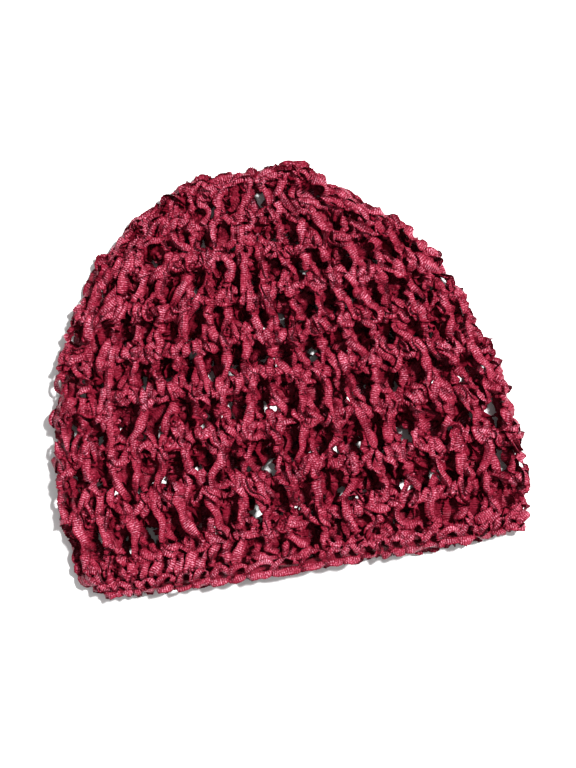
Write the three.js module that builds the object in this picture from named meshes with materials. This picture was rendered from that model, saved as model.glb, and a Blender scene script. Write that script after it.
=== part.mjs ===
// Slouchy openwork hat, crocheted in rounds from ribbon yarn and laid flat. It is a pocket of two
// layers that meet in a rounded fold, hollow inside and open along the brim for the head.
// Millimetres. X runs along the brim, +Y from the brim to the crown, +Z up from the surface below.
import * as THREE from "three";

// Driving dimensions
const wall = 4.2; // thickness of the crocheted fabric between its ridges
const ridge = 1.2; // how far the chain of a round stands out of the fabric
const seam = 0.5; // gap left between two pieces on the middle line
const columns = 72; // cells around the hat, shared by every round
const yarnColour = 0x9c1f3f;

// A row for each ridge, from the crown to the brim. left and right are the X and Y of its two folds,
// where the upper layer turns under, and middleY is where it crosses the middle line. bend is the
// radius of the fold, and puff is how far the upper layer rises above it at the middle. A round's
// stitches stand between its ridge and the ridge above; a row with none is dense fabric.
const ridges = [
  { left: [2, 99.7], right: [18, 99.5], middleY: 98.4, bend: 2.6, puff: 0, stitches: 0 }, // ring hole
  { left: [-14, 99.3], right: [34, 98.2], middleY: 92, bend: 2.9, puff: 0.5, stitches: 0 }, // ring edge
  { left: [-53.5, 85], right: [46.5, 86], middleY: 79, bend: 3.2, puff: 2, stitches: 18 }, // round 1
  { left: [-75.5, 66.5], right: [76, 63.5], middleY: 59, bend: 3.4, puff: 4, stitches: 24 }, // round 2
  { left: [-92.5, 44.2], right: [91, 42.2], middleY: 39, bend: 3.6, puff: 5.5, stitches: 36 }, // round 3
  { left: [-103, 23.6], right: [100, 22], middleY: 18, bend: 3.6, puff: 6, stitches: 36 }, // round 4
  { left: [-108.8, -1.7], right: [107.6, -1.8], middleY: -3, bend: 3.6, puff: 6, stitches: 36 }, // round 5
  { left: [-114.8, -27], right: [114.4, -27], middleY: -27, bend: 3.6, puff: 6, stitches: 36 }, // round 6
  { left: [-116.6, -54], right: [116.6, -50], middleY: -52, bend: 3.6, puff: 5.5, stitches: 36 }, // round 7
  { left: [-113.8, -78], right: [116, -76], middleY: -75, bend: 3.6, puff: 5, stitches: 36 }, // round 8
  { left: [-109, -87.5], right: [114, -89], middleY: -89, bend: 3.6, puff: 4.5, stitches: 0 }, // brim row
  { left: [-100.5, -95.5], right: [109.5, -99.5], middleY: -101, bend: 3.4, puff: 4, stitches: 0 }, // edge
];
const ringEdge = 1; // places of the rows where one piece ends and the next begins
const bandTop = 9;

// Where the open part of a round begins and ends, as shares of the way from ridge to ridge
const openFrom = 0.2;
const openTo = 0.8;

const chainShare = 1.6; // level of the chain along the brim, counted from the top of the band

// Smooth curve through one value of each ridge, a point for every row of the table
function throughRidges(pointOf) {
  const curve = new THREE.CatmullRomCurve3(ridges.map(pointOf));
  curve.curveType = "catmullrom";
  return curve;
}
const leftFold = throughRidges((row) => new THREE.Vector3(...row.left, 0));
const rightFold = throughRidges((row) => new THREE.Vector3(...row.right, 0));
const middle = throughRidges((row) => new THREE.Vector3(row.puff, row.middleY, row.bend));

// Point of a flattened ring at a share of the way round it: a half round at each fold and a straight
// run between them below and above, evenly spaced along the ring. Share 0 is at the right fold.
function flatRing(halfWidth, bend, share) {
  const straight = 2 * (halfWidth - bend);
  const turn = Math.PI * bend;
  const way = (share * 2 * (straight + turn) + turn / 2) % (2 * (straight + turn));
  if (way < turn) {
    const angle = way / bend - Math.PI / 2;
    return { x: straight / 2 + bend * Math.cos(angle), z: bend * Math.sin(angle) };
  }
  if (way < turn + straight) {
    return { x: straight / 2 - (way - turn), z: bend };
  }
  if (way < 2 * turn + straight) {
    const angle = (way - turn - straight) / bend + Math.PI / 2;
    return { x: -straight / 2 + bend * Math.cos(angle), z: bend * Math.sin(angle) };
  }
  return { x: -straight / 2 + (way - 2 * turn - straight), z: -bend };
}

// Point in the middle of the wall. Level counts the rows of the table, share goes round the hat.
function wallPoint(level, share) {
  const t = level / (ridges.length - 1);
  const left = leftFold.getPoint(t);
  const right = rightFold.getPoint(t);
  const { x: puff, y: middleY, z: bend } = middle.getPoint(t);
  const halfWidth = (right.x - left.x) / 2;
  const ring = flatRing(halfWidth, bend, share);
  const across = ring.x / halfWidth;
  const arch = Math.sqrt(Math.max(0, 1 - across * across));
  const foldY = THREE.MathUtils.lerp(left.y, right.y, (across + 1) / 2);
  const y = foldY + (middleY - (left.y + right.y) / 2) * arch;
  const rise = ring.z > 0 ? puff * arch * (ring.z / bend) : 0;
  return new THREE.Vector3((left.x + right.x) / 2 + ring.x, y, wall / 2 + bend + ring.z + rise);
}

// Direction out of the wall, square to its run round the hat and to its run down to the brim
function wallNormal(level, share) {
  const step = 0.02;
  const shareStep = 0.005;
  const above = Math.max(level - step, 0);
  const below = Math.min(level + step, ridges.length - 1);
  const around = wallPoint(level, share + shareStep).sub(wallPoint(level, share - shareStep));
  const down = wallPoint(below, share).sub(wallPoint(above, share));
  return around.cross(down).normalize();
}

// Outer and inner surface of the wall at one level. The ridge stands out on the outside, and what
// lies on the surface below is pressed flat against it.
function wallRow(level, proud) {
  const outer = [];
  const inner = [];
  for (let column = 0; column < columns; column += 1) {
    const share = (column + 0.5) / columns;
    const point = wallPoint(level, share);
    const normal = wallNormal(level, share);
    const outside = point.clone().addScaledVector(normal, wall / 2 + proud);
    outside.z = Math.max(outside.z, 0);
    outer.push(outside);
    inner.push(point.addScaledVector(normal, -wall / 2));
  }
  return { outer, inner };
}

// Closed wall through rows of points. openColumns says for each strip between two rows how many
// cells a stitch takes and how many of them are its hole. Every side that a hole or the end of the
// wall leaves bare is closed from the outer surface to the inner one.
function wallGeometry(rows, openColumns) {
  const points = [...rows.flatMap((row) => row.outer), ...rows.flatMap((row) => row.inner)];
  const innerStart = rows.length * columns;
  const isSolid = (strip, column) => {
    if (strip < 0 || strip >= rows.length - 1) {
      return false;
    }
    const { perStitch, hole } = openColumns[strip];
    return hole === 0 || (column + columns) % columns % perStitch >= hole;
  };
  const index = [];
  for (let strip = 0; strip < rows.length - 1; strip += 1) {
    for (let column = 0; column < columns; column += 1) {
      if (!isSolid(strip, column)) {
        continue;
      }
      const next = (column + 1) % columns;
      const corners = [
        strip * columns + column,
        strip * columns + next,
        (strip + 1) * columns + next,
        (strip + 1) * columns + column,
      ];
      const [a, b, c, d] = corners;
      index.push(a, b, c, a, c, d);
      const [e, f, g, h] = corners.map((corner) => corner + innerStart);
      index.push(e, g, f, e, h, g);
      const sides = [[strip - 1, column], [strip, column + 1], [strip + 1, column], [strip, column - 1]];
      sides.forEach(([nextStrip, nextColumn], edge) => {
        if (!isSolid(nextStrip, nextColumn)) {
          const from = corners[edge];
          const to = corners[(edge + 1) % corners.length];
          index.push(to, from, from + innerStart, to, from + innerStart, to + innerStart);
        }
      });
    }
  }
  const geometry = new THREE.BufferGeometry().setFromPoints(points);
  geometry.setIndex(index);
  geometry.computeVertexNormals();
  return geometry;
}

// Level that lies a distance below a row of the table, measured on the middle line
function levelBelow(row, distance) {
  return row + distance / (ridges[row].middleY - ridges[row + 1].middleY);
}

const yarn = new THREE.MeshStandardMaterial({ color: yarnColour, roughness: 0.5, metalness: 0 });

function piece(name, geometry) {
  const mesh = new THREE.Mesh(geometry, yarn.clone());
  mesh.name = name;
  return mesh;
}

// The dense start of the work, a small ring folded over the top of the crown
function crownRing() {
  const levels = [0, ringEdge];
  const rows = levels.map((level) => wallRow(level, 0));
  const dense = levels.map(() => ({ perStitch: 1, hole: 0 }));
  return piece("crown_ring", wallGeometry(rows, dense));
}

// The openwork rounds: posts with a hole between each two, and a closed ridge below each round
function meshCrown() {
  const rows = [wallRow(levelBelow(ringEdge, seam), 0)];
  const open = [];
  const solid = { perStitch: 1, hole: 0 };
  for (let round = ringEdge + 1; round <= bandTop; round += 1) {
    const above = round - 1;
    const perStitch = columns / ridges[round].stitches;
    rows.push(wallRow(above + openFrom, 0), wallRow(above + openTo, 0));
    open.push(solid, { perStitch, hole: Math.floor(perStitch / 2) }, solid);
    rows.push(wallRow(round, round < bandTop ? ridge : 0));
  }
  return piece("mesh_crown", wallGeometry(rows, open));
}

// The dense band round the opening, with a chain ridge at its lower edge
function brimBand() {
  const levels = [levelBelow(bandTop, seam), bandTop + 1, bandTop + chainShare, ridges.length - 1];
  const rows = levels.map((level) => wallRow(level, level === bandTop + chainShare ? ridge : 0));
  const dense = levels.map(() => ({ perStitch: 1, hole: 0 }));
  return piece("brim_band", wallGeometry(rows, dense));
}

const hat = new THREE.Group();
hat.add(crownRing(), meshCrown(), brimBand());

export default hat;
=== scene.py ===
import math
import bpy
import numpy as np
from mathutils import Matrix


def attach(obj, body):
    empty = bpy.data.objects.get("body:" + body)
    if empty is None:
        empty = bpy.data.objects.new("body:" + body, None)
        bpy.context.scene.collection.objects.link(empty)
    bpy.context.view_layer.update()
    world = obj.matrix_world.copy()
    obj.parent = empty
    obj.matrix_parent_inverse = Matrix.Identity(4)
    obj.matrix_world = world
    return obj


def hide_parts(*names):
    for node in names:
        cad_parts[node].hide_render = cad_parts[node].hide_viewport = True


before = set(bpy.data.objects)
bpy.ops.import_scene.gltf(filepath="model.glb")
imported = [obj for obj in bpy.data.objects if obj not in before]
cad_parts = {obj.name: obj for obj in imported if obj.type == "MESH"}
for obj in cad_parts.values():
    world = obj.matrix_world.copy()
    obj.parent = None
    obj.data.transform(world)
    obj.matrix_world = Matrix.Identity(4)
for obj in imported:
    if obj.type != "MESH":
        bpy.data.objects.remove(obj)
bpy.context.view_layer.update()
mm = 0.001
rng = np.random.default_rng(33)
print("frame loaded", list(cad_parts))

# The hat's shape, in millimetres. A row is one chain ridge, and its place in the table is its level:
# the ring's hole and edge, eight ridges of the rounds, the brim's row and its edge. It gives X and Y
# of the left and right fold, Y on the middle line, radius of the fold, rise of the upper layer.
ridgeColumns = ["leftX", "leftY", "rightX", "rightY", "middleY", "bend", "puff"]
ridgeRows = np.array([
    [2, 99.7, 18, 99.5, 98.4, 2.6, 0],
    [-28, 96.4, 34, 95.6, 95.5, 2.9, 0.5],
    [-53.5, 84, 46.5, 85, 79, 3.2, 2],
    [-75.5, 66, 75, 63.5, 59, 3.4, 4],
    [-92.5, 44.2, 91, 42.2, 39, 3.6, 5.5],
    [-103, 23.6, 100, 22, 18, 3.6, 6],
    [-108.8, -1.7, 107.6, -1.8, -3, 3.6, 6],
    [-114.8, -27, 114.4, -27, -27, 3.6, 6],
    [-116.6, -54, 116.6, -50, -52, 3.6, 5.5],
    [-113.8, -78, 116, -76, -75, 3.6, 5],
    [-109, -87.5, 114, -89, -89, 3.6, 4.5],
    [-100.5, -95.5, 109.5, -99.5, -101, 3.4, 4],
])
wall = 4.2  # thickness of the crocheted fabric, mm


# Values on a cubic through rows: with a, b, c, d the four rows round a place and t the way from b
# to c, they are (2b + (c - a)t + (2a - 5b + 4c - d)t^2 + (3b - a - 3c + d)t^3) / 2
def cubic(rows, place):
    i = np.clip(np.floor(place).astype(int), 0, len(rows) - 4)
    t = (place - i)[:, None]
    a, b, c, d = (rows[i + k] for k in range(4))
    return (2 * b + (c - a) * t + (2 * a - 5 * b + 4 * c - d) * t**2 + (3 * b - a - 3 * c + d) * t**3) / 2


# Every ridge column at a level, with one more row drawn on straight past each end
def ridgeAt(level):
    before = 2 * ridgeRows[:1] - ridgeRows[1:2]
    after = 2 * ridgeRows[-1:] - ridgeRows[-2:-1]
    return dict(zip(ridgeColumns, cubic(np.vstack([before, ridgeRows, after]), level).T))


# Point in the middle of the wall. The ring at a level is a half round of radius bend at each fold
# with straight runs between: x and z follow the way round it, share 0 at the right fold. Then
# y = fold line + (middle - fold line) * sqrt(1 - (x/halfWidth)^2), and the upper run rises by puff
# times the same root.
def wallPoint(level, share):
    row = ridgeAt(level)
    halfWidth = (row["rightX"] - row["leftX"]) / 2
    bend = row["bend"]
    straight = 2 * (halfWidth - bend)
    turn = math.pi * bend
    way = np.mod(share * 2 * (straight + turn) + turn / 2, 2 * (straight + turn))
    right = way / bend - math.pi / 2
    left = (way - turn - straight) / bend + math.pi / 2
    place = [way < turn, way < turn + straight, way < 2 * turn + straight]
    x = np.select(place, [straight / 2 + bend * np.cos(right), straight / 2 - (way - turn),
                          -straight / 2 + bend * np.cos(left)], -straight / 2 + (way - 2 * turn - straight))
    z = np.select(place, [bend * np.sin(right), bend, bend * np.sin(left)], -bend)
    arch = np.sqrt(np.clip(1 - (x / halfWidth)**2, 0, 1))
    foldLine = row["leftY"] + (row["rightY"] - row["leftY"]) * (x / halfWidth + 1) / 2
    y = foldLine + (row["middleY"] - (row["leftY"] + row["rightY"]) / 2) * arch
    z = wall / 2 + bend + z + np.where(z > 0, row["puff"] * arch * z / bend, 0)
    return np.stack([(row["leftX"] + row["rightX"]) / 2 + x, y, z], 1)


# Each row of v divided by its length
def unit(v):
    return v / np.maximum(np.linalg.norm(v, axis=1, keepdims=True), 1e-9)


levelStep = 0.02  # the directions are taken between points this far to either side
shareStep = 0.003


# Unit vectors round the hat, down to the brim and out of the wall: around and down are the
# differences of the points a step to either side, out = around x down, and down = out x around
def wallFrame(level, share):
    around = unit(wallPoint(level, share + shareStep) - wallPoint(level, share - shareStep))
    down = unit(wallPoint(level + levelStep, share) - wallPoint(level - levelStep, share))
    out = unit(np.cross(around, down))
    return around, unit(np.cross(out, around)), out


# The rounds wander: a level moves by a sum of slow waves in share and level, and on the under layer
# the rows lie underLower of a row lower than on the upper one. Both fade out over calmRows at the
# crown and at the brim.
wander = {"waves": 8, "levels": 0.055, "shares": 0.002, "levelPhase": 1.3, "sharePhase": 1.7,
          "underLower": 0.30, "calmFrom": 1, "calmTo": 9.5, "calmRows": 1.0}
waveTurns = rng.integers(2, 22, wander["waves"])
waveStart = rng.uniform(0, 2 * math.pi, (wander["waves"], 2))

# Ridges that run closer to a neighbour at one side of the hat: a level within reach of the ridge
# moves by a share of the shift, 1 - distance / reach, blended round the hat by the cosine of the turn.
# A row gives the level, the reach and the shifts at the right fold, at the left and in the middle.
leftPower = 0.6  # the left shift spreads further from its fold than the plain cosine would
gathers = [
    [2.0, 1.0, 0.27, -0.05, 0.00],
    [9.0, 1.0, 0.00, 0.32, 0.00],
]

crownFan = {"level": 3.0, "power": 0.6, "narrowest": 20}
corner = 4  # power that rounds off a limit, the higher the sharper


# Above the fan's level a stitch keeps nearer to its X: with c running from 1 at the right fold to -1
# at the left and r = (width at that level / width here)^power, c becomes cr / (1 + (r^4 - 1)c^4)^(1/4),
# where 4 is corner
def fannedOut(level, share):
    row, widest = ridgeAt(level), ridgeAt(np.array([crownFan["level"]]))
    ratio = (widest["rightX"] - widest["leftX"]) / np.maximum(row["rightX"] - row["leftX"],
                                                              crownFan["narrowest"])
    side = np.mod(share, 1)
    r = np.maximum(ratio, 1)**crownFan["power"]
    place = np.abs(4 * side - 2) - 1
    place = place * r / (1 + (r**corner - 1) * place**corner)**(1 / corner)
    fanned = np.where(side < 0.5, (1 - place) / 4, (3 + place) / 4)
    return np.where(level < crownFan["level"], fanned, share)


# Past this level the stitches near the left fold move to the left, by share for each level, so that
# the brim's stand upright
uprightBrim = {"level": 9, "levels": 2, "share": 0.038}
layerBlend = 3  # how fast one layer turns into the other at a fold


# 1 on the under layer and 0 on the upper one: -layerBlend * sin(turn), held between 0 and 1
def underness(share):
    return np.clip(-layerBlend * np.sin(2 * math.pi * share), 0, 1)


# Where a stitch's level and share really lie: the level with the gathers' shifts, half the sum of the
# waves sin(turns * turn + start + phase * level) and the under layer's lowering, and the share fanned
# out at the crown, upright at the brim and moved by half the sum of its own waves
def wandered(level, share):
    rightness = np.clip(np.cos(2 * math.pi * share), 0, 1)
    leftness = np.clip(-np.cos(2 * math.pi * share), 0, 1)**leftPower
    moved = level
    for ridge, reach, right, left, middle in gathers:
        shift = right * rightness + left * leftness + middle * (1 - rightness - leftness)
        moved = moved + shift * np.clip(1 - np.abs(level - ridge) / reach, 0, 1)
    turn = 2 * math.pi * share[:, None]
    angle = turn * waveTurns + waveStart[:, 0] + wander["levelPhase"] * level[:, None]
    side = turn * waveTurns[::-1] + waveStart[:, 1] + wander["sharePhase"] * level[:, None]
    calm = np.minimum(level - wander["calmFrom"], wander["calmTo"] - level)
    calm = np.clip(calm / wander["calmRows"], 0, 1)
    under = underness(share)
    share = fannedOut(level, share)
    below = np.clip(level - uprightBrim["level"], 0, uprightBrim["levels"])
    share = share + uprightBrim["share"] * below * leftness * np.sin(2 * math.pi * share)
    return (moved + calm * (wander["levels"] * np.sin(angle).sum(1) / 2 + wander["underLower"] * under),
            share + wander["shares"] * np.sin(side).sum(1) / 2)


# Rows of a loop on the cubic through its control rows, in even steps between each two
def loopThrough(rows, steps):
    return cubic(np.vstack([rows[-1:], rows, rows[:2]]), np.arange(len(rows) * steps) / steps)


# Value at even steps of a running length, on a loop of the given whole length
def evenly(values, length, whole, count):
    at = np.arange(count) * whole / count
    looped = np.vstack([values, values[:1]])
    marks = np.append(length, whole)
    return np.stack([np.interp(at, marks, column) for column in looped.T], 1)


# Mean of each row with its neighbours along the loop
def smoothed(values, times):
    for _ in range(times):
        values = (np.roll(values, 1, 0) + 2 * values + np.roll(values, -1, 0)) / 4
    return values


# The ribbon yarn, in millimetres: a flat strip with cross ribs, two rings to a rib. Its section is a
# lens of four points, the two edges and the middle of each face. A ring between two ribs is narrower
# and thinner by the gap's shares. roll and cup are the sizes of the slow random twist and hollowness.
ribbon = {"width": 5.35, "thickness": 0.92, "ribPitch": 1.08, "gapWidth": 0.92, "gapThickness": 0.74,
          "roughness": 0.045, "roll": 0.52, "cup": 0.55, "turnLength": 7.0, "fewestTurns": 4,
          "turnSteps": 8, "bendFace": 4, "bendMost": 6, "bendNarrow": 1.1, "floor": 0.05}
sectionAcross = np.array([1, 0, -1, 0])
sectionThrough = np.array([0, 1, 0, -1])


# Slow random course along a loop, a cubic through normal draws of the given size, one a turnLength
def slowTurns(size, whole, count):
    draws = max(ribbon["fewestTurns"], int(whole / ribbon["turnLength"]))
    turns = loopThrough(rng.normal(0, size, (draws, 1)), ribbon["turnSteps"])
    return np.interp(np.arange(count) / count, np.arange(len(turns)) / len(turns), turns[:, 0])[:, None]


# Ribbon through points with facings. Along the tangent T, the facing F is pulled away from the way c
# that the path curves, F - min((bendFace * tightness)^2, bendMost) c, so that a bend shows its flat
# side outwards; then it is turned about T by a slow random roll. A bend narrows the ribbon to
# width / (1 + (bendNarrow * tightness)^2). A ring's vertex is
# P + width/2 * across (T x F) + (thickness/2 * through - cup * width/2 * across^2) F, with the
# width drawn in by sqrt(1 + cup^2). The sizes of the roll and the cup are multiplied by crease.
def ribbonTube(points, facing, width, depth, crease):
    step = np.linalg.norm(np.roll(points, -1, 0) - points, axis=1)
    whole = step.sum()
    length = np.concatenate([[0], np.cumsum(step)[:-1]])
    count = 2 * int(whole / ribbon["ribPitch"])
    points = smoothed(evenly(points, length, whole, count), 2)
    facing = evenly(facing, length, whole, count)
    width = evenly(width[:, None], length, whole, count)
    depth = evenly(depth[:, None], length, whole, count)
    tangent = unit(smoothed(np.roll(points, -1, 0) - np.roll(points, 1, 0), 1))
    bending = smoothed(np.roll(tangent, -1, 0) - np.roll(tangent, 1, 0), 2) / (2 * whole / count)
    tightness = np.linalg.norm(bending, axis=1, keepdims=True)
    pull = np.clip((tightness * ribbon["bendFace"])**2, 0, ribbon["bendMost"])
    facing = facing - pull * bending / np.maximum(tightness, 1e-9)
    facing = smoothed(unit(facing - tangent * (facing * tangent).sum(1, keepdims=True)), 2)
    side = unit(np.cross(tangent, facing))
    facing = np.cross(side, tangent)
    width = width / (1 + (ribbon["bendNarrow"] * tightness)**2)
    roll = slowTurns(crease * ribbon["roll"], whole, count)
    side, facing = (np.cos(roll) * side + np.sin(roll) * facing,
                    np.cos(roll) * facing - np.sin(roll) * side)
    cup = slowTurns(crease * ribbon["cup"], whole, count)
    gap = (np.arange(count) % 2 == 0)[:, None]
    uneven = 1 + rng.normal(0, ribbon["roughness"], (count, 4))
    width = width * np.where(gap, ribbon["gapWidth"], 1) * uneven
    across = sectionAcross * ribbon["width"] / 2 * width
    through = sectionThrough * ribbon["thickness"] / 2 * np.where(gap, ribbon["gapThickness"], 1)
    through = through - cup * across * sectionAcross
    across = across / np.sqrt(1 + cup**2)
    verts = (points[:, None, :] + across[:, :, None] * side[:, None, :]
             + through[:, :, None] * facing[:, None, :])
    verts[:, :, 2] = np.maximum(verts[:, :, 2], ribbon["floor"])
    return verts, np.repeat(depth, 4, 1)


# Piece made of closed tubes of quads through rings of vertices. Its UV map runs round the section in
# U and counts the ribs along the yarn in V, and its attribute depth tells how far out the yarn stands,
# which the material turns into painted shade.
def ribbonPiece(name, tubes, node):
    faces, uv, start = [], [], 0
    for verts, _ in tubes:
        count, n, _ = verts.shape
        i = np.arange(count)[:, None]
        j = np.arange(n)[None, :]
        corners = [(i, j), (i, j + 1), (i + 1, j + 1), (i + 1, j)]
        faces.append(start + np.stack([(a % count) * n + b % n for a, b in corners], 2).reshape(-1, 4))
        places = [np.stack(np.broadcast_arrays(b / n, a / 2), 2) for a, b in corners]
        uv.append(np.stack(places, 2).reshape(-1, 2))
        start += count * n
    faces = np.vstack(faces)
    mesh = bpy.data.meshes.new(name)
    mesh.from_pydata(np.vstack([verts.reshape(-1, 3) for verts, _ in tubes]) * mm, [], faces)
    mesh.uv_layers.new(name="yarn").data.foreach_set("uv", np.vstack(uv).astype(np.float32).ravel())
    depths = np.concatenate([depth.ravel() for _, depth in tubes]).astype(np.float32)
    mesh.attributes.new("depth", "FLOAT", "POINT").data.foreach_set("value", depths)
    mesh.polygons.foreach_set("use_smooth", np.zeros(len(faces), bool))
    mesh.update()
    mesh.materials.append(yarn)
    piece = bpy.data.objects.new(name, mesh)
    bpy.context.scene.collection.objects.link(piece)
    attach(piece, "root")
    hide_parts(node)
    print(name, "triangles", 2 * len(faces))


# Charted stitches, a post with its link of the chain below. across is in stitches, down in
# rows from the ridge above to the stitch's own, out in mm from the middle of the wall, width in
# ribbon widths.
forkPost = np.array([
    [-0.50, 1.00, -0.6, 0.80],
    [-0.36, 1.10, 0.8, 0.80],
    [-0.16, 1.06, 2.6, 0.85],
    [0.06, 0.94, 2.8, 0.90],
    [0.22, 0.86, 1.0, 0.75],
    [0.14, 0.88, -1.4, 0.75],
    [-0.10, 0.98, -2.4, 0.80],
    [-0.32, 0.98, -1.4, 0.80],
    [-0.40, 0.90, 0.6, 0.75],
    [-0.30, 0.80, 1.8, 0.80],
    [-0.20, 0.68, 1.8, 0.85],
    [-0.10, 0.54, 1.8, 0.95],
    [-0.04, 0.40, 2.0, 1.02],
    [-0.02, 0.24, 2.2, 1.05],
    [-0.02, 0.08, 2.6, 1.02],
    [-0.04, -0.08, 3.4, 0.95],
    [-0.04, -0.20, 1.6, 0.80],
    [0.00, -0.18, -1.4, 0.80],
    [0.10, -0.04, -2.6, 0.85],
    [0.26, 0.04, -0.8, 0.80],
    [0.22, 0.08, 1.8, 0.80],
    [0.06, 0.14, 3.4, 0.85],
    [-0.16, 0.22, 2.4, 0.85],
    [-0.26, 0.30, 0.0, 0.80],
    [-0.12, 0.38, -1.8, 0.85],
    [0.10, 0.46, -1.6, 0.85],
    [0.26, 0.52, 0.0, 0.80],
    [0.20, 0.58, 2.0, 0.80],
    [0.20, 0.70, 2.4, 0.85],
    [0.28, 0.84, 1.8, 0.85],
    [0.32, 0.98, 2.0, 0.85],
    [0.24, 1.10, 0.8, 0.80],
    [0.10, 1.10, -1.4, 0.80],
    [0.28, 1.02, -2.0, 0.80],
])
twistPost = np.array([
    [-0.50, 1.00, 1.0, 0.85],
    [-0.25, 1.05, 2.6, 0.90],
    [0.00, 1.10, 2.2, 0.85],
    [0.20, 1.04, 0.8, 0.80],
    [0.20, 0.94, -1.2, 0.80],
    [-0.02, 0.90, -2.2, 0.80],
    [-0.24, 0.92, -1.0, 0.80],
    [-0.34, 0.84, 0.8, 0.80],
    [-0.24, 0.70, 2.2, 0.85],
    [-0.04, 0.56, 3.0, 0.95],
    [0.12, 0.42, 2.2, 1.00],
    [0.17, 0.26, 1.6, 1.00],
    [0.12, 0.10, 2.4, 0.95],
    [0.04, -0.06, 3.4, 0.90],
    [-0.02, -0.19, 1.4, 0.80],
    [-0.06, -0.16, -1.6, 0.80],
    [-0.16, -0.02, -2.4, 0.80],
    [-0.30, 0.06, -0.6, 0.80],
    [-0.24, 0.14, 1.8, 0.85],
    [-0.10, 0.24, 0.8, 0.90],
    [-0.14, 0.38, 0.6, 0.95],
    [-0.06, 0.52, 0.4, 0.90],
    [0.10, 0.62, 0.0, 0.85],
    [0.26, 0.70, 1.2, 0.85],
    [0.34, 0.82, 2.0, 0.85],
    [0.36, 0.96, 1.8, 0.85],
    [0.26, 1.08, 0.6, 0.80],
    [0.06, 1.08, -1.8, 0.80],
    [-0.14, 1.00, -2.6, 0.80],
    [0.02, 0.90, -1.2, 0.80],
    [0.12, 0.84, 1.2, 0.80],
    [0.22, 0.94, 2.8, 0.85],
    [0.36, 1.04, 1.0, 0.85],
])
broadPost = np.array([
    [-0.50, 1.04, 0.6, 0.85],
    [-0.36, 0.98, 2.4, 0.90],
    [-0.16, 0.90, 3.0, 0.90],
    [0.02, 0.82, 1.8, 0.80],
    [0.06, 0.74, -0.4, 0.75],
    [-0.10, 0.72, -1.8, 0.80],
    [-0.30, 0.80, -1.4, 0.80],
    [-0.40, 0.92, 0.2, 0.80],
    [-0.28, 1.06, 1.6, 0.85],
    [-0.06, 1.13, 2.0, 0.85],
    [0.14, 1.06, 2.6, 0.85],
    [0.26, 0.92, 2.4, 0.85],
    [0.22, 0.76, 2.0, 0.90],
    [0.12, 0.60, 2.0, 0.95],
    [0.03, 0.44, 2.2, 1.02],
    [-0.01, 0.28, 2.4, 1.06],
    [-0.02, 0.12, 2.8, 1.02],
    [-0.02, -0.05, 3.4, 0.95],
    [0.00, -0.18, 1.4, 0.80],
    [0.06, -0.16, -1.4, 0.80],
    [0.18, -0.04, -2.2, 0.80],
    [0.30, 0.06, -0.4, 0.80],
    [0.22, 0.14, 1.6, 0.80],
    [0.08, 0.20, 0.0, 0.85],
    [-0.10, 0.28, -1.6, 0.90],
    [-0.22, 0.40, -0.4, 0.90],
    [-0.20, 0.54, 1.2, 0.85],
    [-0.26, 0.66, 1.4, 0.80],
    [-0.36, 0.78, 0.6, 0.80],
    [-0.28, 0.90, -1.4, 0.80],
    [-0.04, 0.98, -2.4, 0.80],
    [0.18, 1.08, -1.6, 0.80],
    [0.34, 1.00, 0.2, 0.80],
])

# Short stitch of the brim: the yarn comes over the row as a slanting block and goes back behind it
shortPost = np.array([
    [-0.50, 0.98, -0.6, 0.85],
    [-0.34, 1.04, 1.2, 0.97],
    [-0.20, 0.90, 2.8, 1.07],
    [-0.12, 0.66, 3.3, 1.15],
    [-0.02, 0.42, 3.0, 1.13],
    [0.06, 0.22, 1.6, 1.03],
    [0.04, 0.14, -1.0, 0.95],
    [-0.08, 0.42, -2.2, 0.95],
    [-0.06, 0.78, -2.0, 0.95],
    [0.14, 1.00, -1.2, 0.85],
    [0.26, 1.02, 0.8, 0.80],
    [0.40, 0.96, 0.8, 0.80],
])

# Link of a chain, across in links, down from the chain's upper side to its lower: over the upper
# leg, round the foot of the next link, back along the lower leg and on behind
chainLink = np.array([
    [-0.10, 0.62, -1.6, 0.75],
    [0.04, 0.66, 0.6, 0.72],
    [0.12, 0.40, 2.2, 0.75],
    [0.30, 0.12, 2.9, 0.74],
    [0.56, 0.04, 3.2, 0.76],
    [0.82, 0.20, 3.0, 0.74],
    [1.02, 0.52, 1.8, 0.75],
    [1.12, 0.74, -0.2, 0.70],
    [1.04, 0.90, 1.6, 0.78],
    [0.78, 0.90, 2.5, 0.85],
    [0.42, 0.90, 2.5, 0.85],
    [0.14, 0.87, 1.6, 0.78],
    [0.06, 0.74, -1.0, 0.70],
    [0.40, 0.60, -2.0, 0.72],
])

# Yarn wound over a ridge, two turns to a stitch, down from the ridge's upper side to its lower
ridgeWrap = np.array([
    [-0.50, 0.85, 0.4, 0.80],
    [-0.38, 0.70, 2.4, 0.90],
    [-0.26, 0.35, 2.8, 0.95],
    [-0.16, 0.05, 1.0, 0.85],
    [-0.16, 0.15, -1.4, 0.80],
    [-0.10, 0.55, -2.4, 0.85],
    [-0.02, 0.90, -1.2, 0.80],
    [0.02, 0.95, 0.8, 0.80],
    [0.12, 0.75, 2.4, 0.90],
    [0.26, 0.40, 3.0, 0.95],
    [0.36, 0.08, 1.2, 0.85],
    [0.36, 0.15, -1.4, 0.80],
    [0.40, 0.50, -2.4, 0.85],
    [0.46, 0.85, -1.4, 0.80],
])


# A chart seen in a mirror, walked the other way so that the yarn still runs on to the next stitch
def mirrored(chart):
    turned = np.roll(chart, -1, 0)[::-1] * [-1, 1, 1, 1]
    turned[0, 0] -= 1
    return turned


# Height of yarn that lies on the floor, lowest + give * log(1 + exp((z - lowest) / give)): it keeps
# the order of the strands and lets none sink
rest = {"lowest": 0.75, "give": 1.5}


def rested(z):
    return rest["lowest"] + rest["give"] * np.logaddexp(0, (z - rest["lowest"]) / rest["give"])
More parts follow.
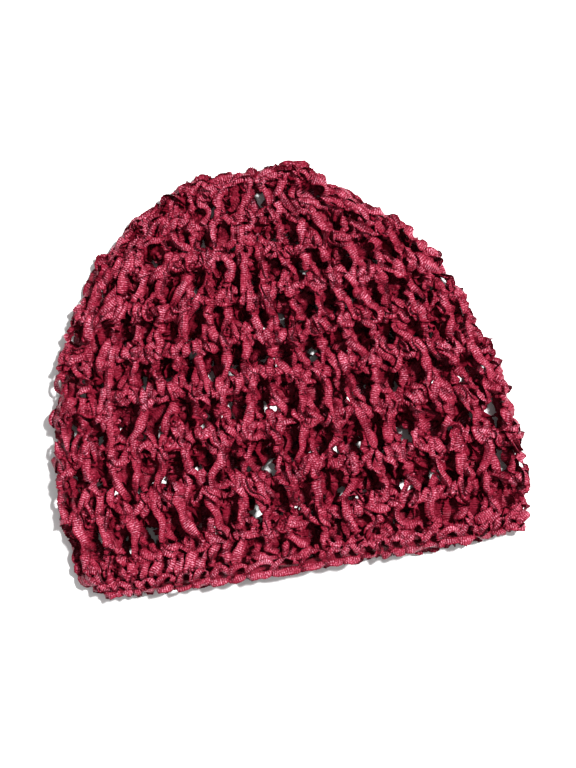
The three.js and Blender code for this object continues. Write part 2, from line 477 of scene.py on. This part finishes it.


# How much the stitches of a course vary, as normal deviations: span along the course, drop and lean
# down and along it, spread as a share of the stitch's width, point of each charted row (along, down
# and out) and width of the yarn. pinch is how much a post's waist narrows, underTaller how much
# taller a stitch of the under layer is, crease how much the ribbon rolls and cups, and light how many
# mm further out than it lies the yarn counts for its painted shade. So light is painted light: it
# paints the yarn of the crown, the wound ridges and the chains lighter.
postVariety = {"span": 0.09, "drop": 0.04, "lean": 0.11, "spread": 0.09, "point": [0.03, 0.020, 0.60],
               "width": 0.12, "pinch": 0.56, "underTaller": 0.0, "crease": 1.0, "light": 0.0}
crownVariety = {"span": 0.25, "drop": 0.08, "lean": 0.30, "spread": 0.20, "point": [0.04, 0.025, 0.50],
                "width": 0.12, "pinch": 0.20, "underTaller": 0.0, "crease": 1.1, "light": 0.7}
wrapVariety = {"span": 0.12, "drop": 0.20, "lean": 0.14, "spread": 0.12, "point": [0.04, 0.060, 0.60],
               "width": 0.12, "pinch": 0.0, "underTaller": 0.35, "crease": 1.4, "light": 0.2}
shortVariety = {"span": 0.10, "drop": 0.03, "lean": 0.10, "spread": 0.06, "point": [0.03, 0.020, 0.30],
                "width": 0.08, "pinch": 0.10, "underTaller": 0.0, "crease": 1.1, "light": 0.0}
chainVariety = {"span": 0.08, "drop": 0.04, "lean": 0.05, "spread": 0.05, "point": [0.03, 0.040, 0.30],
                "width": 0.08, "pinch": 0.0, "underTaller": 0.0, "crease": 0.9, "light": 0.4}

upperPart = 0.445  # part of a round's stitches that lies on the upper layer


# Share of the hat from the share of a course, on two straight lines: the stitches up to upperPart
# fill the upper half, and the others the under half
def crowded(share):
    side = np.mod(share, 1)
    return np.floor(share) + np.interp(side, [0, upperPart, 1], [0, 0.5, 1])


# The widest holes of the upper layer, twelve near the crown and three above the brim at the right, in
# mm: X and Y of the middle, width and height
holes = [
    [-28, 89, 5, 4],
    [-4, 88, 10, 8],
    [10, 85, 4, 8],
    [36, 85, 11, 6],
    [-53, 80, 5, 4],
    [-20, 84, 5, 4],
    [-11, 72, 8, 9],
    [8, 69, 12, 6],
    [22, 66, 5, 12],
    [43, 70, 5, 8],
    [-47, 67, 10, 11],
    [-15, 55, 5, 8],
    [73, -82, 10, 8],
    [105, -81, 9, 8],
    [54, -82, 7, 7],
]
holeBorder = 2.3  # yarn's middle keeps this far from a hole, mm
leastWay = 0.05  # keeps r from zero at the very middle of a hole


# Yarn of the upper layer bends round the holes: with r the way from a hole's middle in half sizes,
# border included, r becomes (r^4 + 1)^(1/4), where 4 is corner
def bentRoundHoles(points, share):
    upper = np.clip(layerBlend * np.sin(2 * math.pi * share), 0, 1)[:, None]
    for x, y, width, height in holes:
        half = np.array([width, height]) / 2 + holeBorder
        way = (points[:, :2] - [x, y]) / half
        r = np.maximum(np.linalg.norm(way, axis=1, keepdims=True), leastWay)
        points[:, :2] += upper * ((r**corner + 1)**(1 / corner) / r - 1) * way * half
    return points


deeper = 1.15  # how much deeper the stitches stand than charted
inset = 2.1  # the stitches' middle lies this far inside the wall's, which keeps the outline, mm
chartSteps = 6  # steps of the curve between two rows of a chart
waist = {"down": 0.42, "reach": 0.3, "varies": 0.4}  # where a post is drawn in, in rows, and how evenly
breadths = {"under": 0.50, "underFolds": 0.36, "folds": 0.1, "foldsPower": 6}  # shares of the width


# A course of stitches round the hat, each with its own span, lean and spread. A chart's across is
# drawn in by 1 - pinch * exp(-((down - waist) / reach)^2), and the pinch is largest in the middle of
# the upper layer. A charted row turns into the point at its level and share of the hat's shape, moved
# out along the wall's normal by deeper * out - inset. The ribbon faces tanh(out) times that normal,
# and with f = cos(turn) its width is multiplied by 1 + (under + underFolds * f^2) * underness
# + folds * f^foldsPower.
def course(charts, variety, top, bottom, spans, start=0.0, scale=1.0):
    spans = spans * (1 + rng.normal(0, variety["span"], len(spans)))
    spans = spans / spans.sum()
    counts = [len(chart) for chart in charts]
    own = np.vstack(charts)
    lean = np.repeat(rng.normal(0, variety["lean"], len(spans)), counts)
    spread = np.repeat(1 + rng.normal(0, variety["spread"], len(spans)), counts)
    ends = crowded(start + np.append(0, np.cumsum(spans)))
    spans, middles = ends[1:] - ends[:-1], (ends[1:] + ends[:-1]) / 2
    pinch = variety["pinch"] * (1 + rng.normal(0, waist["varies"], len(spans)))
    pinch = np.repeat(pinch * np.clip(np.sin(2 * math.pi * middles), 0, 1)**0.5, counts)
    own[:, 0] *= 1 - pinch * np.exp(-((own[:, 1] - waist["down"]) / waist["reach"])**2)
    own[:, 0] = own[:, 0] * spread + lean * (own[:, 1] - 0.5)
    own[:, 1] += np.repeat(rng.normal(0, variety["drop"], len(spans)), counts)
    own[:, :3] += rng.normal(0, 1, (len(own), 3)) * variety["point"]
    own[:, 3] *= scale * (1 + rng.normal(0, variety["width"], len(own)))
    own[:, 0] = own[:, 0] * np.repeat(spans, counts) + np.repeat(middles, counts)
    turn = [1, 0, 0, 0]
    places = np.arange(len(own) * chartSteps) / chartSteps
    dense = cubic(np.vstack([own[-1:] - turn, own, own[:2] + turn]), places)
    under = underness(dense[:, 0])
    fold = np.cos(2 * math.pi * dense[:, 0])
    breadth = 1 + (breadths["under"] + breadths["underFolds"] * fold**2) * under
    breadth = breadth + breadths["folds"] * fold**breadths["foldsPower"]
    tall = (bottom - top) * (1 + variety["underTaller"] * under)
    level, share = wandered((top + bottom) / 2 + (dense[:, 1] - 0.5) * tall, dense[:, 0])
    around, down, out = wallFrame(level, share)
    points = wallPoint(level, share) + (deeper * dense[:, 2:3] - inset) * out
    points = bentRoundHoles(points, dense[:, 0])
    points[:, 2] = rested(points[:, 2])
    # The depth passed on is the chart's out plus light, which the material turns into painted shade and
    # painted light.
    return ribbonTube(points, np.tanh(dense[:, 2:3]) * out, dense[:, 3] * breadth,
                      dense[:, 2] + variety["light"], variety["crease"])


# Ribbon yarn: wine red, ribbed, woven in small dots across each rib, with slow random changes of
# tone and a soft gloss. The bright pink on the ribs and dots is partly a painted highlight, and the
# deep red between the ribs is partly painted shade. Painted shade also darkens the ribbon's edges and
# the yarn that lies deeper in the fabric, in its hollows. The ribs, dots and blotches add up by their
# shares, and darkest to brightest of the sum is spread over the colours.
yarnLook = {"deep": (0.092, 0.003, 0.010, 1), "middle": (0.215, 0.019, 0.041, 1),
            "bright": (0.50, 0.215, 0.28, 1), "darkest": 0.25, "brightest": 1.17,
            "ribShare": 0.36, "dotShare": 0.48, "blotchShare": 0.55,
            "dotsAround": 8, "dotScale": 1.3, "dotFrom": 0.36, "dotTo": 0.66, "blotchScale": 90,
            "edgeWide": 0.6, "paintedEdgeShade": 0.12, "depthFrom": -1.5, "depthTo": 3.2, "paintedDepthShade": 0.40,
            "roughness": 0.35, "specular": 0.2, "gloss": (1, 0.5, 0.6, 1),
            "bump": 1.0, "bumpDistance": 0.0004}


def yarnMaterial():
    material = bpy.data.materials.new("ribbonYarn")
    material.use_nodes = True
    nodes, links = material.node_tree.nodes, material.node_tree.links
    shader = nodes["Principled BSDF"]
    shader.inputs["Roughness"].default_value = yarnLook["roughness"]
    shader.inputs["Specular IOR Level"].default_value = yarnLook["specular"]
    shader.inputs["Specular Tint"].default_value = yarnLook["gloss"]
    along = nodes.new("ShaderNodeUVMap")
    along.uv_map = "yarn"
    ribs = nodes.new("ShaderNodeTexWave")
    ribs.bands_direction = "Y"
    ribs.inputs["Scale"].default_value = 2 * math.pi / 20  # one wave to each rib
    links.new(along.outputs["UV"], ribs.inputs["Vector"])
    threads = nodes.new("ShaderNodeMapping")
    threads.inputs["Scale"].default_value = (yarnLook["dotsAround"], 1, 1)
    links.new(along.outputs["UV"], threads.inputs["Vector"])
    dots = nodes.new("ShaderNodeTexNoise")
    dots.inputs["Scale"].default_value = yarnLook["dotScale"]
    dots.inputs["Detail"].default_value = 1
    links.new(threads.outputs["Vector"], dots.inputs["Vector"])
    where = nodes.new("ShaderNodeTexCoord")
    blotches = nodes.new("ShaderNodeTexNoise")
    blotches.inputs["Scale"].default_value = yarnLook["blotchScale"]
    links.new(where.outputs["Object"], blotches.inputs["Vector"])
    ribbed = nodes.new("ShaderNodeMath")
    ribbed.operation = "MULTIPLY_ADD"
    ribbed.inputs[1].default_value = yarnLook["ribShare"]
    links.new(ribs.outputs["Fac"], ribbed.inputs[0])
    blotched = nodes.new("ShaderNodeMath")
    blotched.operation = "MULTIPLY"
    blotched.inputs[1].default_value = yarnLook["blotchShare"]
    links.new(blotches.outputs["Fac"], blotched.inputs[0])
    links.new(blotched.outputs["Value"], ribbed.inputs[2])
    dotted = nodes.new("ShaderNodeMath")
    dotted.operation = "MULTIPLY_ADD"
    dotted.inputs[1].default_value = yarnLook["dotShare"]
    crisp = nodes.new("ShaderNodeMapRange")
    crisp.inputs["From Min"].default_value = yarnLook["dotFrom"]
    crisp.inputs["From Max"].default_value = yarnLook["dotTo"]
    links.new(dots.outputs["Fac"], crisp.inputs["Value"])
    links.new(crisp.outputs["Result"], dotted.inputs[0])
    links.new(ribbed.outputs["Value"], dotted.inputs[2])
    spread = nodes.new("ShaderNodeMapRange")
    spread.inputs["From Min"].default_value = yarnLook["darkest"]
    spread.inputs["From Max"].default_value = yarnLook["brightest"]
    links.new(dotted.outputs["Value"], spread.inputs["Value"])
    # Painted highlight and shade: the ramp's bright pink end stands partly for the gloss on the rib crests
    # and dots, and its deep end partly for the shade between the ribs.
    colour = nodes.new("ShaderNodeValToRGB")
    colour.color_ramp.elements[0].color = yarnLook["deep"]
    colour.color_ramp.elements[1].color = yarnLook["bright"]
    colour.color_ramp.elements.new(0.5).color = yarnLook["middle"]
    # Painted shade: the colour is darkened towards the ribbon's two edges, where |sin 2πU| is small, for
    # the shadow between neighbouring strands.
    sides = nodes.new("ShaderNodeSeparateXYZ")
    links.new(along.outputs["UV"], sides.inputs["Vector"])
    turned = nodes.new("ShaderNodeMath")
    turned.operation = "MULTIPLY"
    turned.inputs[1].default_value = 2 * math.pi
    links.new(sides.outputs["X"], turned.inputs[0])
    wave = nodes.new("ShaderNodeMath")
    wave.operation = "SINE"
    links.new(turned.outputs["Value"], wave.inputs[0])
    facing = nodes.new("ShaderNodeMath")
    facing.operation = "ABSOLUTE"
    links.new(wave.outputs["Value"], facing.inputs[0])
    edged = nodes.new("ShaderNodeMapRange")
    edged.inputs["From Max"].default_value = yarnLook["edgeWide"]
    edged.inputs["To Min"].default_value = yarnLook["paintedEdgeShade"]
    links.new(facing.outputs["Value"], edged.inputs["Value"])
    # Painted shade: the attribute depth darkens the yarn the further in it lies, towards the inside of the
    # hat, for the shade in the fabric's hollows and inside the hat.
    depth = nodes.new("ShaderNodeAttribute")
    depth.attribute_name = "depth"
    shade = nodes.new("ShaderNodeMapRange")
    shade.inputs["From Min"].default_value = yarnLook["depthFrom"]
    shade.inputs["From Max"].default_value = yarnLook["depthTo"]
    shade.inputs["To Min"].default_value = yarnLook["paintedDepthShade"]
    links.new(depth.outputs["Fac"], shade.inputs["Value"])
    shaded = nodes.new("ShaderNodeMath")
    shaded.operation = "MULTIPLY"
    links.new(spread.outputs["Result"], shaded.inputs[0])
    links.new(shade.outputs["Result"], shaded.inputs[1])
    bordered = nodes.new("ShaderNodeMath")
    bordered.operation = "MULTIPLY"
    links.new(shaded.outputs["Value"], bordered.inputs[0])
    links.new(edged.outputs["Result"], bordered.inputs[1])
    links.new(bordered.outputs["Value"], colour.inputs["Fac"])
    links.new(colour.outputs["Color"], shader.inputs["Base Color"])
    bump = nodes.new("ShaderNodeBump")
    bump.inputs["Strength"].default_value = yarnLook["bump"]
    bump.inputs["Distance"].default_value = yarnLook["bumpDistance"]
    links.new(spread.outputs["Result"], bump.inputs["Height"])
    links.new(bump.outputs["Normal"], shader.inputs["Normal"])
    return material


yarn = yarnMaterial()

# The rounds from the crown down, each a round of posts between two levels and the yarn wound over
# its lower ridge. A row gives the two levels, the number of stitches and the yarn's width as a share,
# which is less where the stitches are small.
roundRows = [
    [1.0, 2.0, 26, 0.92],
    [2.0, 3.0, 32, 0.92],
    [3.0, 4.0, 36, 1.00],
    [4.0, 5.0, 38, 1.00],
    [5.0, 6.0, 38, 1.00],
    [6.0, 7.0, 38, 1.00],
    [7.0, 8.0, 38, 1.00],
    [8.0, 9.0, 38, 1.03],
]
ridgeWound = {"halfHeight": 4.2, "rowHeight": 22, "width": 1.02}  # mm, mm and a share
crownRounds = 2  # as many rounds from the crown have the looser stitches
posts = [forkPost, twistPost, broadPost, mirrored(forkPost), mirrored(twistPost), mirrored(broadPost)]
wraps = [ridgeWrap, mirrored(ridgeWrap)]


# One of the charts drawn for each stitch
def pick(charts, count):
    return [charts[k] for k in rng.integers(0, len(charts), count)]


for number, row in enumerate(roundRows, 1):
    top, bottom, stitches, width = row
    start = rng.uniform()
    spans = np.ones(stitches)
    reach = ridgeWound["halfHeight"] / ridgeWound["rowHeight"] * width
    variety = crownVariety if number <= crownRounds else postVariety
    tubes = [course(pick(posts, stitches), variety, top, bottom, spans, start, width),
             course(pick(wraps, stitches), wrapVariety, bottom - reach, bottom + reach, spans, start,
                    ridgeWound["width"] * width)]
    ribbonPiece("round_%d" % (number + 1), tubes, "mesh_crown")

# The first round, two courses wound close to the ring: the middle level of each, how many levels it
# reaches to either side and its number of stitches
firstWound = [[0.6, 0.16, 12], [1.0, 0.18, 18]]
tubes = [course(pick(wraps, stitches), wrapVariety, middle - reach, middle + reach, np.ones(stitches),
                rng.uniform(), 1.0) for middle, reach, stitches in firstWound]
ribbonPiece("round_1", tubes, "mesh_crown")
print("rounds made")

# The brim: a row of low posts with short stitches from shortFrom to shortTo of the way round, and a
# chain along the edge, each between two levels
brim = {"posts": 10, "shortStitches": 60, "shortFrom": 0.27, "shortTo": 1.00, "rowTop": 9.0,
        "rowBottom": 10.16, "chainTop": 10.22, "chainBottom": 10.93, "links": 58}
shortSpan = (brim["shortTo"] - brim["shortFrom"]) / brim["shortStitches"]
postSpan = (1 - brim["shortTo"] + brim["shortFrom"]) / brim["posts"]
spans = np.repeat([shortSpan, postSpan], [brim["shortStitches"], brim["posts"]])
charts = pick([shortPost], brim["shortStitches"]) + pick(posts, brim["posts"])
tubes = [course(charts, shortVariety, brim["rowTop"], brim["rowBottom"], spans, brim["shortFrom"]),
         course([chainLink] * brim["links"], chainVariety, brim["chainTop"], brim["chainBottom"],
                np.ones(brim["links"]))]
ribbonPiece("brim_row", tubes, "brim_band")
print("brim made")

# The ring that the hat starts from, a chain round the hole in the crown
startRing = {"links": 8, "top": 0.05, "bottom": 1.1}
tubes = [course([chainLink] * startRing["links"], chainVariety, startRing["top"], startRing["bottom"],
                np.ones(startRing["links"]))]
ribbonPiece("start_ring", tubes, "crown_ring")
print("start ring made")

# Plain pale floor, a square from -half to half in metres
floorLook = {"half": 9, "shade": 0.75, "roughness": 0.9}
half, shade = floorLook["half"], floorLook["shade"]
floorMesh = bpy.data.meshes.new("floor")
floorMesh.from_pydata([(-half, -half, 0), (half, -half, 0), (half, half, 0), (-half, half, 0)], [],
                      [(0, 1, 2, 3)])
floor = bpy.data.objects.new("floor", floorMesh)
bpy.context.scene.collection.objects.link(floor)
paper = bpy.data.materials.new("paper")
paper.use_nodes = True
paper.node_tree.nodes["Principled BSDF"].inputs["Base Color"].default_value = (shade, shade, shade, 1)
paper.node_tree.nodes["Principled BSDF"].inputs["Roughness"].default_value = floorLook["roughness"]
floorMesh.materials.append(paper)

# Camera straight above, turned so that the brim rises to the right by the photo's tilt. The frame's
# origin shows at hatX, hatY of the picture, and a pixel is pixel metres wide at the height lookZ.
view = {"tilt": math.radians(10.3), "pixel": 0.5 * mm, "rows": 768, "lens": 85, "sensor": 36,
        "hatX": 271.0, "hatY": 371.3, "columns": 576, "lookZ": 0.010}
tilt = view["tilt"]
rightward = (view["columns"] / 2 - view["hatX"]) * view["pixel"]
upward = (view["hatY"] - view["rows"] / 2) * view["pixel"]
camera = bpy.data.cameras.new("camera")
camera.sensor_fit = "VERTICAL"
camera.sensor_height = view["sensor"]
camera.lens = view["lens"]
cameraObject = bpy.data.objects.new("camera", camera)
distance = view["rows"] * view["pixel"] * view["lens"] / view["sensor"]
cameraObject.location = (rightward * math.cos(tilt) + upward * math.sin(tilt),
                         -rightward * math.sin(tilt) + upward * math.cos(tilt), view["lookZ"] + distance)
cameraObject.rotation_euler = (0, 0, -tilt)
bpy.context.scene.collection.objects.link(cameraObject)
bpy.context.scene.camera = cameraObject

# Soft studio light: a wide lamp from the photo's upper right, and an even white room
key = {"from": (0.58, 0.27, 1.0), "softness": math.radians(8), "strength": 6.5}
roomStrength = 0.60
lamp = bpy.data.lights.new("key", "SUN")
lamp.angle = key["softness"]
lamp.energy = key["strength"]
lampObject = bpy.data.objects.new("key", lamp)
sideways = math.hypot(key["from"][0], key["from"][1])
lampObject.rotation_euler = (0, math.atan2(sideways, key["from"][2]),
                             math.atan2(key["from"][1], key["from"][0]))
bpy.context.scene.collection.objects.link(lampObject)
room = bpy.data.worlds.new("room")
room.use_nodes = True
room.node_tree.nodes["Background"].inputs["Color"].default_value = (1, 1, 1, 1)
room.node_tree.nodes["Background"].inputs["Strength"].default_value = roomStrength
bpy.context.scene.world = room
bpy.context.scene.view_settings.view_transform = "Standard"
bpy.context.scene.view_settings.look = "Medium High Contrast"
print("stage set")
